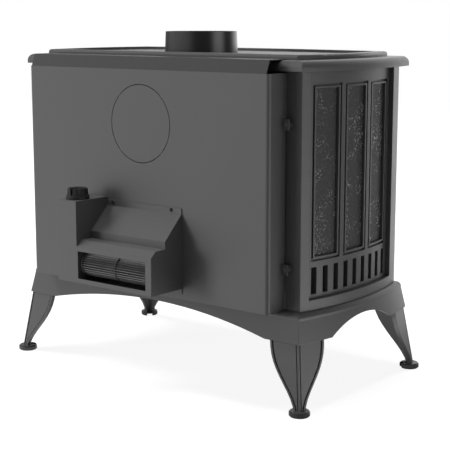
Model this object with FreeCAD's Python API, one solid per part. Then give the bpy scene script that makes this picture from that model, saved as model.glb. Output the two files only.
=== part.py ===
import FreeCAD
import Part
import os
from math import atan, cos, pi, sin, sqrt

# Wood-burning heating stove: a cast-iron body with bowed sides on four splayed legs, a steel heat
# shield hung behind it and a cross-flow blower bolted to the shield.
# +Z is up, the loading door faces -Y and the shield faces +Y. The origin is on the floor at the
# middle of the overall box. All sizes are millimetres.

V = FreeCAD.Vector

# Fits shared by all pieces
SEAM = 0.3
SHAFT_PLAY = 0.05
DOOR_GAP = 3.0
SHEET = 2.0

# Body plan and height, measured at its corners
BODY_HALF_WIDTH = 376.0
BODY_HALF_DEPTH = 185.0
BODY_HEIGHT = 484.0
SIDE_BOW = 26.0
FRONT_BOW = 40.0
FRONT_WALL = 15.0
REAR_WALL = 10.0

# Legs
LEG_HEIGHT = 143.5
LEG_SPLAY = 19.5
LEG_SETBACK = 3.5
WEB_TOP = 69.0
FRONT_WEB_TOP = 88.0
WEB_FOOT = 14.0
WEB_THICKNESS = 8.0
WEB_CURVE = 1.25
LEG_SECTIONS = 11
LEG_BEAD = 5.0
LEG_BEAD_RISE = 1.5
LEG_GROOVE = 2.5
LEG_GROOVE_DEPTH = 2.0
RIDGE_BEAD = 2.5
RIDGE_GROOVE = 3.0
RIDGE_GROOVE_DEPTH = 1.5
LUG_REACH = 50.0
LUG_NOSE = 35.0
LUG_THICKNESS = 10.0
LEG_BOLT = 10.0
LEG_BOLT_FLATS = 17.0
LEG_BOLT_HEAD = 8.0
LEG_BOLT_REACH = 26.0
PAD_DIAMETER = 43.5
PAD_HEIGHT = 12.0
PAD_CHAMFER = 2.5
PAD_INSET = 9.75
PAD_NOTCH = 14.0
PAD_NOTCH_DEPTH = 24.5

# Base skirt
BASE_HEIGHT = 60.5
BASE_SHOULDER = 14.0
BASE_SHOULDER_ROUND = 12.0
BASE_OVERHANG_X = 16.0
BASE_OVERHANG_Y = 27.0
BASE_FLARE_X = 7.0
BASE_FLARE_Y = 10.0
BASE_WALL = 10.0
BASE_DECK = 8.0
BASE_FLANGE = 70.0
ARCH_FOOT_X = 17.0
ARCH_FOOT_Y = 27.0
REAR_ARCH_RISE = 34.5
SIDE_ARCH_RISE = 32.0

# Bowed side frames, grille panels and stone inserts
FRAME_THICKNESS = 16.0
FRAME_LIP = 10.0
FRAME_REBATE = 10.0
STILE = 23.0
BOTTOM_RAIL = 21.0
PANEL_THICKNESS = 12.0
WINDOWS = 3
WINDOW_MARGIN = 16.0
WINDOW_SILL = 77.5
WINDOW_HEAD = 25.5
MULLION = 12.0
WINDOW_GROOVE = 5.0
WINDOW_GROOVE_DEPTH = 5.0
WINDOW_BEAD = 4.0
SLOTS = 9
SLOT_WIDTH = 15.0
SLOT_HEIGHT = 56.0
SLOT_SILL = 9.0
STONE_RECESS = 6.0
STONE_THICKNESS = 10.0
STONE_LAP = 3.0

# Top casting and flue collar
TOP_OVERHANG_X = 13.0
TOP_OVERHANG_Y = 20.0
MOULDING_HEIGHT = 21.0
MOULDING_ROUND = 14.5
LEDGE = 20.5
TIER_HEIGHT = 10.5
TIER_ROUND = 6.0
RIM_WIDTH = 21.0
TOP_RECESS = 6.0
TOP_PLATE = 8.5
TOP_LAND = 40.0
FLUE_BORE = 152.4
FLUE_SETBACK = 40.0
COLLAR_WALL = 3.3
COLLAR_DRAFT = 2.0
COLLAR_HEIGHT = 48.5
SPIGOT_WALL = 2.5

# Heat shield, rear flue cover and top deflector
SHIELD_INSET = 37.0
SHIELD_DEPTH = 60.0
SHIELD_DROP = 4.0
SHIELD_BEND = 8.0
SHIELD_BOSS = 14.0
SHIELD_BOSS_HEIGHT = 13.0
RETURN_GAP = 3.0
EAR_REACH = 16.0
EAR_HEIGHT = 22.0
EAR_RISE = 86.5
EAR_DROP = 100.5
KNOCKOUT = 168.0
KNOCKOUT_DROP = 114.5
KNOCKOUT_KERF = 1.5
KNOCKOUT_TAB = 4.0
KNOCKOUT_TABS = 4
FLUE_COVER_LAP = 14.0
FLUE_COVER_THICKNESS = 8.0
BAND_INSET = 7.0
BAND_SETBACK = 11.0
BAND_SHELF_LAP = 10.0
SCREW_SHANK = 4.0
SCREW_HEAD = 8.0
SCREW_HEAD_HEIGHT = 3.0
SCREW_LENGTH = 8.0

# Blower: housing, control box, cross-flow fan and speed knob
HOUSING_LEFT = -115.0
HOUSING_WIDTH = 214.5
HOUSING_DEPTH = 98.0
HOUSING_FOOT = 23.0
HOOD_RISE = 184.0
HOOD_SHOULDER = 132.0
HOOD_DEPTH = 54.0
SHELF_RISE = 116.0
SHELF_DEPTH = 83.0
NOSE_RISE = 103.0
FLANGE_LAP = 11.0
MOUTH_LEFT = 16.0
MOUTH_RIGHT = 3.0
MOUTH_EDGE = 10.0
SHIELD_PORT_EDGE = 14.0
HOUSING_SCREW_LEFT = 28.0
HOUSING_SCREW_RIGHT = 18.0
CONTROL_WIDTH = 57.5
CONTROL_RISE = 200.5
FAN_RADIUS = 27.0
FAN_SETBACK = 64.0
FAN_RISE = 62.0
FAN_END_GAP = 3.0
FAN_DISC = 2.0
FAN_BLADES = 30
FAN_BLADE_DEPTH = 8.0
FAN_BLADE_THICKNESS = 1.2
FAN_BLADE_TILT = 35.0
FAN_SHAFT = 8.0
BUSH_DIAMETER = 18.0
BUSH_LENGTH = 6.0
BUSH_PLAY = 2.0
MOTOR_DIAMETER = 56.0
MOTOR_LENGTH = 38.0
MOTOR_BEARING = 22.0
KNOB_SETBACK = 35.0
KNOB_SKIRT = 51.0
KNOB_SKIRT_HEIGHT = 9.0
KNOB_GRIP = 46.0
KNOB_HEIGHT = 22.5
KNOB_GAP = 1.0
KNOB_TAPER = 1.0
KNOB_EDGE = 2.0
KNOB_SCALLOPS = 6
KNOB_SCALLOP_RADIUS = 13.0
KNOB_SCALLOP_DEPTH = 3.5
POINTER_WIDTH = 4.0
SPINDLE = 6.0
NECK = 10.0
SPEED_CONTROL_DIAMETER = 36.0
SPEED_CONTROL_HEIGHT = 22.0
GLAND = 14.0
GLAND_SETBACK = 27.0
GLAND_FLANGE = 2.0
GLAND_LENGTH = 13.0
GLAND_BORE = 7.0

# Firebox, lining and air tubes
HEARTH_THICKNESS = 6.0
FIREBOX_WALL = 5.0
FIREBOX_SIDE_GAP = 38.0
FIREBOX_REAR_GAP = 15.0
FIREBOX_TOP_GAP = 12.0
ASH_HEIGHT = 75.0
BRICK = 25.0
SIDE_BRICKS = 3
REAR_BRICKS = 4
GRATE_HALF_WIDTH = 110.0
GRATE_HALF_DEPTH = 75.0
GRATE_THICKNESS = 12.0
GRATE_BARS = 9
GRATE_BAR = 10.0
GRATE_SEAT = 10.0
AIR_TUBES = 3
AIR_TUBE = 25.0
AIR_TUBE_WALL = 2.0
AIR_TUBE_PITCH = 75.0
AIR_TUBE_DROP = 100.0
BAFFLE = 20.0
BAFFLE_FRONT_GAP = 70.0

# Front casting, loading door and handle
FRONT_BACKING = 8.0
BACKING_INSET = 41.0
DOOR_STILE = 116.0
DOOR_SILL = 96.0
DOOR_HEAD = 38.0
DOOR_STANDOFF = 6.0
DOOR_LIP = 22.0
DOOR_RAIL = 52.0
DOOR_ARCH_RISE = 26.0
GLASS = 5.0
GLASS_LAP = 6.0
GLASS_PLAY = 1.5
CLIP_WIDTH = 24.0
CLIP_REACH = 14.0
ROPE = 9.0
ROPE_GROOVE = 4.5
HINGE_OFFSET = 12.0
HINGE_INSET = 70.0
HINGE_CLEAR = 1.2
KNUCKLE = 13.0
KNUCKLE_HEIGHT = 22.0
EAR_KNUCKLE_HEIGHT = 14.0
HINGE_PIN = 7.0
HANDLE_INSET = 34.0
HANDLE_SHAFT = 12.0
HANDLE_HUB = 26.0
HANDLE_STANDOFF = 34.0
HANDLE_LEVER = 118.0
HANDLE_NECK = 12.0
GRIP_DIAMETER = 22.0
GRIP_END = 16.0
GRIP_TAPER = 25.0
GRIP_LENGTH = 84.0
TONGUE_WIDTH = 14.0
TONGUE_REACH = 28.0
TONGUE_THICKNESS = 6.0

# Ash drawer and primary air slide
DRAWER_HALF_WIDTH = 181.0
DRAWER_SILL = 26.0
DRAWER_HEIGHT = 56.0
PAN_HALF_WIDTH = 165.0
PAN_REAR_GAP = 27.0
PAN_HEIGHT = 46.0
PAN_RISE = 2.0
RAIL_WIDTH = 20.0
PULL_DIAMETER = 24.0
PULL_FACE = 19.0
PULL_EDGE = 5.0
PULL_CROWN = 1.2
PULL_REACH = 28.0
PULL_STEM = 10.0
AIR_PLATE_HALF_WIDTH = 90.0
AIR_PLATE_DEPTH = 32.0
AIR_PLATE_THICKNESS = 3.0
AIR_LEVER_WIDTH = 12.0
AIR_TRAVEL = 40.0
AIR_SLOT_PLAY = 3.0
AIR_KNOB = 16.0
AIR_KNOB_END = 11.0
AIR_KNOB_TAPER = 6.0
AIR_KNOB_LENGTH = 22.0
AIR_KNOB_GAP = 6.0

# Levels and planes that several pieces share
base_z = (LEG_HEIGHT, LEG_HEIGHT + BASE_HEIGHT)
body_z = (base_z[1], base_z[1] + BODY_HEIGHT)
ledge_z = body_z[1] + MOULDING_HEIGHT
rim_z = ledge_z + TIER_HEIGHT
recess_z = rim_z - TOP_RECESS
rear_y = BODY_HALF_DEPTH
shield_y = rear_y + SHIELD_DEPTH
shield_half = BODY_HALF_WIDTH - SHIELD_INSET
front_back_y = FRONT_WALL - BODY_HALF_DEPTH
backing_y = front_back_y + FRONT_BACKING
base_corner = (BODY_HALF_WIDTH + BASE_OVERHANG_X, BODY_HALF_DEPTH + BASE_OVERHANG_Y)
far = 4 * BODY_HALF_WIDTH

side_r = (BODY_HALF_DEPTH ** 2 + SIDE_BOW ** 2) / (2 * SIDE_BOW)
side_axis_x = side_r - BODY_HALF_WIDTH - SIDE_BOW
front_r = (BODY_HALF_WIDTH ** 2 + FRONT_BOW ** 2) / (2 * FRONT_BOW)
front_axis_y = front_r - BODY_HALF_DEPTH - FRONT_BOW

pieces = {}


def box(x, y, z):
    """Block between low and high values on each axis."""
    return Part.makeBox(x[1] - x[0], y[1] - y[0], z[1] - z[0], V(x[0], y[0], z[0]))


def rod(start, end, radius):
    """Round bar from start to end."""
    return Part.makeCylinder(radius, (end - start).Length, start, end - start)


def hexagon(start, end, across_flats):
    """Hexagonal bar, for bolt heads and nuts."""
    radius = across_flats / sqrt(3)
    ring = [start + V(radius * cos(k * pi / 3), radius * sin(k * pi / 3), 0) for k in range(7)]
    return Part.Face(Part.makePolygon(ring)).extrude(end - start)


def turned(profile, centre, axis):
    """Solid of revolution from (radius, height) points about an axis through centre."""
    points = [V(radius, 0, height) for radius, height in profile]
    blank = Part.Face(Part.makePolygon(points + points[:1])).revolve(V(0, 0, 0), V(0, 0, 1), 360)
    blank.Placement = FreeCAD.Placement(centre, FreeCAD.Rotation(V(0, 0, 1), axis))
    return blank


def profile_prism(points, x):
    """Prism along X from (y, z) points."""
    outline = [V(x[0], y, z) for y, z in points]
    return Part.Face(Part.makePolygon(outline + outline[:1])).extrude(V(x[1] - x[0], 0, 0))


def joined(*solids):
    """One solid from solids that overlap or share faces."""
    return solids[0].multiFuse(list(solids[1:])).removeSplitter()


def mirrored(shape):
    """The same piece on the opposite side of the stove."""
    return shape.mirror(V(0, 0, 0), V(1, 0, 0))


def bowed_wire(half_width, half_depth, z):
    """Plan outline with a straight rear edge and bowed sides and front."""
    rear_left = V(-half_width, half_depth, z)
    rear_right = V(half_width, half_depth, z)
    front_right = V(half_width, -half_depth, z)
    front_left = V(-half_width, -half_depth, z)
    return Part.Wire([
        Part.makeLine(rear_left, rear_right),
        Part.Arc(rear_right, V(half_width + SIDE_BOW, 0, z), front_right).toShape(),
        Part.Arc(front_right, V(0, -half_depth - FRONT_BOW, z), front_left).toShape(),
        Part.Arc(front_left, V(-half_width - SIDE_BOW, 0, z), rear_left).toShape(),
    ])


def bowed_slab(half_width, half_depth, z, top_round=0.0):
    """Slab with the bowed outline and, if asked, a rounded upper edge."""
    slab = Part.Face(bowed_wire(half_width, half_depth, z[0])).extrude(V(0, 0, z[1] - z[0]))
    if not top_round:
        return slab
    upper = [e for e in slab.Edges if all(abs(v.Z - z[1]) < 1e-6 for v in e.Vertexes)]
    return slab.makeFillet(top_round, upper)


def side_wall(depth, y, z):
    """Part of the bowed left wall between two depths behind its outer face."""
    low, high = V(side_axis_x, 0, z[0]), V(side_axis_x, 0, z[1])
    ring = rod(low, high, side_r - depth[0]).cut(rod(low, high, side_r - depth[1]))
    return ring.common(box((-far, 0), y, z))


def front_y(x):
    """Y of the bowed front face at a given X."""
    return front_axis_y - sqrt(front_r ** 2 - x ** 2)


def front_block(x, back, z):
    """Block whose front follows the bowed front face and whose back is a flat plane."""
    blank = bowed_slab(BODY_HALF_WIDTH, BODY_HALF_DEPTH, z)
    return blank.common(box(x, (-far, back), z))


def screw(seat, into):
    """Pan-head screw whose head sits on the seat and whose shank points along into."""
    head = rod(seat - into * SCREW_HEAD_HEIGHT, seat, SCREW_HEAD / 2)
    return joined(head, rod(seat - into, seat + into * SCREW_LENGTH, SCREW_SHANK / 2))


def screw_hole(seat, into):
    """Clearance for a screw's shank."""
    return rod(seat - into * SCREW_LENGTH, seat + into * 2 * SCREW_LENGTH, SCREW_SHANK / 2 + SHAFT_PLAY)


def leg_frames():
    """Ridge point and inward web directions at each corner, named by corner."""
    side_turn = 2 * atan(SIDE_BOW / base_corner[1])
    front_turn = 2 * atan(FRONT_BOW / base_corner[0])
    frames = {}
    for end, sy in (("rear", 1), ("front", -1)):
        turn = front_turn if end == "front" else 0.0
        for side, sx in (("left", -1), ("right", 1)):
            ridge = V(sx * (base_corner[0] - LEG_SETBACK), sy * (base_corner[1] - LEG_SETBACK), LEG_HEIGHT)
            across = V(-sx * cos(turn), -sin(turn), 0)
            along = V(sx * sin(side_turn), -sy * cos(side_turn), 0)
            splay = V(sx, sy, 0) * LEG_SPLAY
            frames[f"{end}_{side}"] = (ridge, across, along, splay)
    return frames


def web_edge(ridge, along, other, width):
    """Outer face of one leg web, from the grooved ridge to its beaded free edge."""
    outward = along * along.dot(other) - other
    outward.normalize()
    steps = [
        (RIDGE_BEAD, 0),
        (RIDGE_BEAD, -RIDGE_GROOVE_DEPTH),
        (RIDGE_BEAD + RIDGE_GROOVE, -RIDGE_GROOVE_DEPTH),
        (RIDGE_BEAD + RIDGE_GROOVE, 0),
        (width - LEG_BEAD - LEG_GROOVE, 0),
        (width - LEG_BEAD - LEG_GROOVE, -LEG_GROOVE_DEPTH),
        (width - LEG_BEAD, -LEG_GROOVE_DEPTH),
        (width - LEG_BEAD, LEG_BEAD_RISE),
        (width, LEG_BEAD_RISE),
        (width, -WEB_THICKNESS),
    ]
    return [ridge + along * reach + outward * rise for reach, rise in steps]


def leg(ridge_top, across, along, splay, across_top):
    """Two-web leg with an S-curved taper, a bolting lug at its top and a notched round foot."""
    skew = sqrt(1 - across.dot(along) ** 2)
    inward = across + along
    foot = V(ridge_top.x, ridge_top.y, PAD_HEIGHT / 2) + splay
    sections = []
    for k in range(LEG_SECTIONS):
        t = k / (LEG_SECTIONS - 1)
        ridge = ridge_top + (foot - ridge_top) * t
        taper = (1 + cos(pi * t ** WEB_CURVE)) / 2
        inner = ridge + inward * (WEB_THICKNESS / skew)
        outline = web_edge(ridge, across, along, WEB_FOOT + (across_top - WEB_FOOT) * taper) + [inner]
        outline += web_edge(ridge, along, across, WEB_FOOT + (WEB_TOP - WEB_FOOT) * taper)[::-1] + [ridge]
        sections.append(Part.makePolygon(outline + outline[:1]))
    webs = Part.makeLoft(sections, True, True)

    root = ridge_top + inward * (WEB_THICKNESS / 2)
    tips = [root, root + across * LUG_REACH, root + inward * LUG_NOSE, root + along * LUG_REACH]
    lug = Part.Face(Part.makePolygon(tips + tips[:1])).extrude(V(0, 0, -LUG_THICKNESS))
    lug = lug.cut(leg_bolt_hole(ridge_top, inward))

    pad_r = PAD_DIAMETER / 2
    pad_centre = V(foot.x, foot.y, 0) + inward * PAD_INSET
    pad_profile = [(0, 0), (pad_r - PAD_CHAMFER, 0), (pad_r, PAD_CHAMFER), (pad_r, PAD_HEIGHT - PAD_CHAMFER)]
    pad = turned(pad_profile + [(pad_r - PAD_CHAMFER, PAD_HEIGHT), (0, PAD_HEIGHT)], pad_centre, V(0, 0, 1))
    aim = V(inward).normalize()
    notch = box((pad_r - PAD_NOTCH_DEPTH, PAD_DIAMETER), (-PAD_NOTCH / 2, PAD_NOTCH / 2), (0, PAD_HEIGHT))
    notch.Placement = FreeCAD.Placement(pad_centre, FreeCAD.Rotation(V(1, 0, 0), aim))
    return joined(webs, lug, pad.cut(notch))


def leg_bolt_hole(ridge_top, inward):
    """Vertical hole through a leg lug and the base corner above it."""
    centre = ridge_top + inward * LEG_BOLT_REACH
    reach = V(0, 0, 2 * LUG_THICKNESS)
    return rod(centre - reach, centre + reach, LEG_BOLT / 2 + SEAM)


def legs():
    """Four legs and the bolts that hold them to the base."""
    bolts = []
    for corner, (ridge, across, along, splay) in leg_frames().items():
        across_top = FRONT_WEB_TOP if corner.startswith("front") else WEB_TOP
        pieces[f"leg_{corner}"] = [leg(ridge, across, along, splay, across_top)]
        centre = ridge + (across + along) * LEG_BOLT_REACH
        low, high = centre - V(0, 0, LUG_THICKNESS), centre + V(0, 0, LUG_THICKNESS)
        cap = V(0, 0, LEG_BOLT_HEAD)
        head = hexagon(low - cap, low, LEG_BOLT_FLATS)
        nut = hexagon(high, high + cap, LEG_BOLT_FLATS)
        bolts.append(joined(head, nut, rod(low, high, LEG_BOLT / 2)))
    pieces["leg_bolts"] = bolts


def base():
    """Flared skirt with arched edges, a deck flange inside its top and four bolting corners."""
    waist_z = base_z[1] - BASE_SHOULDER
    waist = (base_corner[0] - BASE_FLARE_X, base_corner[1] - BASE_FLARE_Y)
    flare = Part.makeLoft([bowed_wire(*base_corner, base_z[0]), bowed_wire(*waist, waist_z)], True, True)
    shoulder = bowed_slab(*waist, (waist_z, base_z[1]), BASE_SHOULDER_ROUND)
    skin = flare.fuse(shoulder)

    deck_z = base_z[1] - BASE_DECK
    hollow = Part.makeLoft([
        bowed_wire(base_corner[0] - BASE_WALL, base_corner[1] - BASE_WALL, base_z[0]),
        bowed_wire(waist[0] - BASE_WALL, waist[1] - BASE_WALL, deck_z),
    ], True, True)
    corner_z = (base_z[0], base_z[0] + LUG_THICKNESS)
    for ridge, across, along, splay in leg_frames().values():
        centre = ridge + (across + along) * LEG_BOLT_REACH
        corner_x = (centre.x - LUG_NOSE, centre.x + LUG_NOSE)
        corner_y = (centre.y - LUG_NOSE, centre.y + LUG_NOSE)
        corner = box(corner_x, corner_y, corner_z)
        hollow = hollow.cut(corner.cut(leg_bolt_hole(ridge, across + along)))
    opening = (waist[0] - BASE_WALL - BASE_FLANGE, waist[1] - BASE_WALL - BASE_FLANGE)
    well = box((-opening[0], opening[0]), (-opening[1], opening[1]), (deck_z, base_z[1]))
    skirt = skin.cut(hollow).cut(well)

    arch_x = base_corner[0] - WEB_TOP - ARCH_FOOT_X
    arch_y = base_corner[1] - WEB_TOP - ARCH_FOOT_Y
    for half, rise, axis in ((arch_x, REAR_ARCH_RISE, V(0, 1, 0)), (arch_y, SIDE_ARCH_RISE, V(1, 0, 0))):
        radius = (half ** 2 + rise ** 2) / (2 * rise)
        centre = V(0, 0, base_z[0] + rise - radius)
        skirt = skirt.cut(rod(centre - axis * far, centre + axis * far, radius))
    pieces["base_casting"] = [skirt]


def spread(count, width, low, high):
    """Low and high edges of equal openings spread over a span, the outer ones at its ends."""
    pitch = (high - low - width) / (count - 1)
    return [(low + k * pitch, low + k * pitch + width) for k in range(count)]


def sides():
    """Bowed side frames with inset grille panels and stone inserts, left and right."""
    frame_y = (front_back_y, rear_y)
    opening_y = (frame_y[0] + STILE, frame_y[1] - STILE)
    opening_z = (body_z[0] + BOTTOM_RAIL, body_z[1])
    pocket_y = (opening_y[0] - FRAME_REBATE, opening_y[1] + FRAME_REBATE)
    pocket_z = (opening_z[0] - FRAME_REBATE, body_z[1])
    frame = side_wall((0, FRAME_THICKNESS), frame_y, body_z)
    frame = frame.cut(box((-far, 0), opening_y, opening_z))
    frame = frame.cut(side_wall((FRAME_LIP, 2 * FRAME_THICKNESS), pocket_y, pocket_z))

    face = FRAME_LIP + SEAM
    panel_y = (pocket_y[0] + SEAM, pocket_y[1] - SEAM)
    panel_z = (pocket_z[0] + SEAM, body_z[1] - SEAM)
    panel = side_wall((face, face + PANEL_THICKNESS), panel_y, panel_z)
    field_y = (opening_y[0] + WINDOW_MARGIN, opening_y[1] - WINDOW_MARGIN)
    window_z = (opening_z[0] + WINDOW_SILL, body_z[1] - WINDOW_HEAD)
    window_width = (field_y[1] - field_y[0] - (WINDOWS - 1) * MULLION) / WINDOWS

    def inset(span, by):
        return span[0] + by, span[1] - by

    cuts = []
    stones = []
    bead_out = WINDOW_GROOVE
    bead_in = WINDOW_GROOVE + WINDOW_BEAD
    seat = bead_in - STONE_LAP
    for window_y in spread(WINDOWS, window_width, *field_y):
        groove = side_wall((face - 1, face + WINDOW_GROOVE_DEPTH), window_y, window_z)
        bead = box((-far, 0), inset(window_y, bead_out), inset(window_z, bead_out))
        cuts.append(groove.cut(bead))
        cuts.append(box((-far, 0), inset(window_y, bead_in), inset(window_z, bead_in)))
        back = (face + STONE_RECESS, face + 2 * PANEL_THICKNESS)
        cuts.append(side_wall(back, inset(window_y, seat), inset(window_z, seat)))
        stone_depth = (face + STONE_RECESS + SEAM, face + STONE_RECESS + STONE_THICKNESS)
        stones.append(side_wall(stone_depth, inset(window_y, seat + SEAM), inset(window_z, seat + SEAM)))
    slot_z = (opening_z[0] + SLOT_SILL, opening_z[0] + SLOT_SILL + SLOT_HEIGHT)
    for slot_y in spread(SLOTS, SLOT_WIDTH, *field_y):
        cuts.append(box((-far, 0), slot_y, slot_z))
    panel = panel.cut(cuts)

    for name, left in (("side_frame", [frame]), ("side_panel", [panel]), ("side_stones", stones)):
        pieces[f"{name}_left"] = left
        pieces[f"{name}_right"] = [mirrored(piece) for piece in left]


def top():
    """Two-tier top casting with a sunk plate, and the flue collar that stands in it."""
    moulding = (BODY_HALF_WIDTH + TOP_OVERHANG_X, BODY_HALF_DEPTH + TOP_OVERHANG_Y)
    step = MOULDING_ROUND + LEDGE
    tier = (moulding[0] - step, moulding[1] - step)
    rim = (tier[0] - RIM_WIDTH, tier[1] - RIM_WIDTH)
    land = (BODY_HALF_WIDTH - TOP_LAND, BODY_HALF_DEPTH - TOP_LAND)
    lower = bowed_slab(*moulding, (body_z[1], ledge_z), MOULDING_ROUND)
    upper = bowed_slab(*tier, (ledge_z, rim_z), TIER_ROUND)
    plate = lower.fuse(upper)
    plate = plate.cut(bowed_slab(*rim, (recess_z, rim_z)))
    plate = plate.cut(bowed_slab(*land, (body_z[1], recess_z - TOP_PLATE)))

    bore = FLUE_BORE / 2
    spigot = bore + SPIGOT_WALL
    flue = V(0, FLUE_SETBACK, 0)
    well = rod(flue + V(0, 0, body_z[1]), flue + V(0, 0, rim_z), spigot + SEAM)
    pieces["top_casting"] = [plate.cut(well)]

    foot_z = firebox_z[1] + SEAM - recess_z
    outer = bore + COLLAR_WALL
    profile = [(bore, foot_z), (spigot, foot_z), (spigot, 0), (outer + COLLAR_DRAFT, 0)]
    profile += [(outer, COLLAR_HEIGHT), (bore, COLLAR_HEIGHT)]
    pieces["flue_collar"] = [turned(profile, flue + V(0, 0, recess_z), V(0, 0, 1))]


def rear():
    """Rear casting with its closed rear flue outlet, the heat shield on it and the top deflector."""
    inner_r = side_r - FRAME_THICKNESS
    half = sqrt(inner_r ** 2 - rear_y ** 2) - side_axis_x - SEAM
    plate = box((-half, half), (rear_y - REAR_WALL, rear_y), body_z)
    shield_z = (body_z[0], body_z[1] - SHIELD_DROP)
    outlet = V(0, rear_y, shield_z[1] - KNOCKOUT_DROP)
    out = V(0, 1, 0)
    plate = plate.cut(rod(outlet - out * REAR_WALL, outlet, FLUE_BORE / 2))
    cover_r = FLUE_BORE / 2 + FLUE_COVER_LAP
    pieces["rear_flue_cover"] = [rod(outlet, outlet + out * FLUE_COVER_THICKNESS, cover_r)]

    def pan(by):
        blank = box((by - shield_half, shield_half - by), (rear_y, shield_y - by), shield_z)
        upright = [e for e in blank.Edges if e.Vertexes[0].Z != e.Vertexes[1].Z]
        bends = [e for e in upright if e.Vertexes[0].Y > rear_y + SHEET]
        return blank.makeFillet(SHIELD_BEND - by, bends)

    ear_y = rear_y + SHIELD_BOSS_HEIGHT
    ear_levels = (shield_z[0] + EAR_RISE, shield_z[1] - EAR_DROP)
    gap_z = (shield_z[0], ear_levels[1] - EAR_HEIGHT / 2)
    shield = pan(0).cut([pan(SHEET), box((-far, far), (rear_y, rear_y + RETURN_GAP), gap_z)])
    ears = []
    bosses = []
    screws = []
    holes = []
    for sx in (-1, 1):
        for ear_z in ear_levels:
            reach = sorted((sx * (shield_half - SHEET), sx * (shield_half + EAR_REACH)))
            height = (ear_z - EAR_HEIGHT / 2, ear_z + EAR_HEIGHT / 2)
            ears.append(box(reach, (ear_y, ear_y + SHEET), height))
            seat = V(sx * (shield_half + EAR_REACH / 2), ear_y + SHEET, ear_z)
            bosses.append(rod(V(seat.x, rear_y, ear_z), V(seat.x, ear_y, ear_z), SHIELD_BOSS / 2))
            screws.append(screw(seat, -out))
            holes.append(screw_hole(seat, -out))
    shield = joined(shield, *ears)

    ring_r = KNOCKOUT / 2
    centre = V(0, shield_y - SHEET, outlet.z)
    face = centre + out * SHEET
    kerf = rod(centre, face, ring_r).cut(rod(centre, face, ring_r - KNOCKOUT_KERF))
    for k in range(KNOCKOUT_TABS):
        tab = box((0, 2 * ring_r), (-SHEET, SHEET), (-KNOCKOUT_TAB / 2, KNOCKOUT_TAB / 2))
        tab.Placement = FreeCAD.Placement(centre, FreeCAD.Rotation(out, 45 + k * 360 / KNOCKOUT_TABS))
        kerf = kerf.cut(tab)
    port = box(*blower_port())
    pieces["heat_shield"] = [shield.cut([kerf, port] + holes + housing_screw_holes())]
    pieces["rear_casting"] = [joined(plate, *bosses).cut(holes)]
    pieces["shield_screws"] = screws

    band_y = shield_y - BAND_SETBACK
    band_half = shield_half - BAND_INSET
    shelf_y = rear_y + TOP_OVERHANG_Y - MOULDING_ROUND - BAND_SHELF_LAP
    slope = BAND_SETBACK / (ledge_z + SHEET - shield_z[1])
    band_wall = SHEET * sqrt(1 + slope ** 2)
    profile = [
        (shelf_y, ledge_z),
        (shelf_y, ledge_z + SHEET),
        (band_y, ledge_z + SHEET),
        (shield_y, shield_z[1]),
        (shield_y - band_wall, shield_z[1]),
        (band_y + slope * SHEET - band_wall, ledge_z),
    ]
    pieces["top_deflector"] = [profile_prism(profile, (-band_half, band_half))]


def blower_span():
    """X limits of the housing and the control box, and Z of the shield's lower edge."""
    housing = (HOUSING_LEFT, HOUSING_LEFT + HOUSING_WIDTH)
    control = (housing[1], housing[1] + CONTROL_WIDTH)
    return housing, control, body_z[0]


def blower_port():
    """Opening in the shield through which the blower feeds the space behind it."""
    housing, control, foot = blower_span()
    x = (housing[0] + SHIELD_PORT_EDGE, housing[1] - SHIELD_PORT_EDGE)
    z = (foot + HOUSING_FOOT + SHIELD_PORT_EDGE, foot + HOOD_RISE - SHIELD_PORT_EDGE)
    return x, (shield_y - SHEET, shield_y + SHEET), z


def housing_screw_seats():
    """Points where the housing screws sit on its upper flange."""
    housing, control, foot = blower_span()
    z = foot + HOOD_RISE + FLANGE_LAP / 2
    y = shield_y + SHEET
    return [V(housing[0] + HOUSING_SCREW_LEFT, y, z), V(housing[1] - HOUSING_SCREW_RIGHT, y, z)]


def housing_screw_holes():
    """Clearance holes for the housing screws."""
    return [screw_hole(seat, V(0, -1, 0)) for seat in housing_screw_seats()]


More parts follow.
